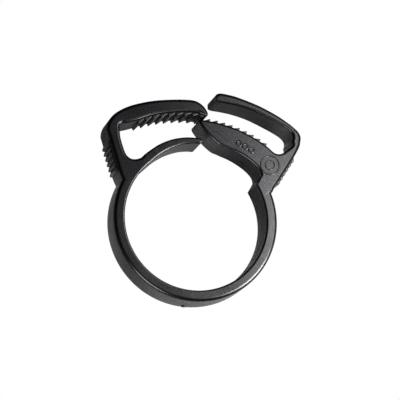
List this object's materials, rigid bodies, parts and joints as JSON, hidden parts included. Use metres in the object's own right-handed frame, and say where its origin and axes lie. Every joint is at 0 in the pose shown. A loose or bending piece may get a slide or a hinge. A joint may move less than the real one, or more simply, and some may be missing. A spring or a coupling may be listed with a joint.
{
  "type": "hose clamp",
  "caption": "One-piece moulded nylon ratchet hose clamp: a springy band with a toothed hollow jaw and a toothed wedge jaw under a backing arm.",
  "frame": {"origin": "on the bore axis, at the clamp's underside", "axes": "+Z along the bore axis, +Y from the bore towards the jaws, +X towards the wedge jaw"},
  "size_m": [0.0389, 0.0419, 0.0076],
  "materials": {
    "black_nylon": "satin moulded"
  },
  "bodies": {
    "saddle": {"band_saddle": "black_nylon", "gate_mark": "black_nylon"},
    "left_heel": {"band_left_heel": "black_nylon"},
    "left_lower_band": {"band_left_lower": "black_nylon"},
    "left_jaw": {"band_left_upper": "black_nylon", "left_post": "black_nylon", "left_grip_pad": "black_nylon"},
    "left_arm": {"toothed_arm": "black_nylon", "left_tooth_row": "black_nylon"},
    "tongue": {"hose_tongue": "black_nylon"},
    "right_heel": {"band_right_heel": "black_nylon"},
    "right_lower_band": {"band_right_lower": "black_nylon"},
    "right_jaw": {"band_right_upper": "black_nylon", "right_post": "black_nylon", "right_wedge": "black_nylon", "right_tooth_row": "black_nylon", "right_grip_pad": "black_nylon", "size_pips": "black_nylon", "mould_mark": "black_nylon"},
    "right_arm": {"backing_arm": "black_nylon"}
  },
  "joints": [
    {"name": "release_right", "type": "slide", "parent": "saddle", "child": "right_heel", "axis": [0, 0, 1], "range_m": [-0.0042, 0.0042], "stiffness_N_per_m": 200},
    {"name": "release_left", "type": "slide", "parent": "saddle", "child": "left_heel", "axis": [0, 0, -1], "range_m": [-0.0042, 0.0042], "stiffness_N_per_m": 200},
    {"name": "close_band", "type": "hinge", "parent": "right_heel", "child": "right_lower_band", "pos_m": [0.01049, -0.01086, 0], "axis": [0, 0, 1], "range_deg": [-4, 6.6], "stiffness_Nm_per_rad": 0.05},
    {"name": "bend_right_upper", "type": "hinge", "parent": "right_lower_band", "child": "right_jaw", "pos_m": [0.01506, -0.00105, 0], "axis": [0, 0, 1], "range_deg": [-4, 6.6], "stiffness_Nm_per_rad": 0.05},
    {"name": "bend_left_lower", "type": "hinge", "parent": "left_heel", "child": "left_lower_band", "pos_m": [-0.01049, -0.01086, 0], "axis": [0, 0, -1], "range_deg": [-4, 6.6], "stiffness_Nm_per_rad": 0.05},
    {"name": "bend_left_upper", "type": "hinge", "parent": "left_lower_band", "child": "left_jaw", "pos_m": [-0.01506, -0.00105, 0], "axis": [0, 0, -1], "range_deg": [-4, 6.6], "stiffness_Nm_per_rad": 0.05},
    {"name": "tongue_flex", "type": "hinge", "parent": "left_jaw", "child": "tongue", "pos_m": [-0.01013, 0.01103, 0], "axis": [0, 0, -1], "range_deg": [-5.6, 9.25], "stiffness_Nm_per_rad": 0.01},
    {"name": "backing_flex", "type": "hinge", "parent": "right_jaw", "child": "right_arm", "pos_m": [0.0195, 0.0173, 0], "axis": [0, 0, -1], "range_deg": [-0.9, 1.5], "stiffness_Nm_per_rad": 0.05},
    {"name": "press_teeth", "type": "hinge", "parent": "left_jaw", "child": "left_arm", "pos_m": [-0.01713, 0.01649, 0], "axis": [0, 0, -1], "range_deg": [0, 1.2], "stiffness_Nm_per_rad": 0.05}
  ],
  "couplings": [
    {"joint": "release_left", "follows": "release_right", "ratio": 1},
    {"joint": "bend_right_upper", "follows": "close_band", "ratio": 1},
    {"joint": "bend_left_lower", "follows": "close_band", "ratio": 1},
    {"joint": "bend_left_upper", "follows": "close_band", "ratio": 1},
    {"joint": "tongue_flex", "follows": "close_band", "ratio": 1.4},
    {"joint": "backing_flex", "follows": "close_band", "ratio": 0.22}
  ]
}
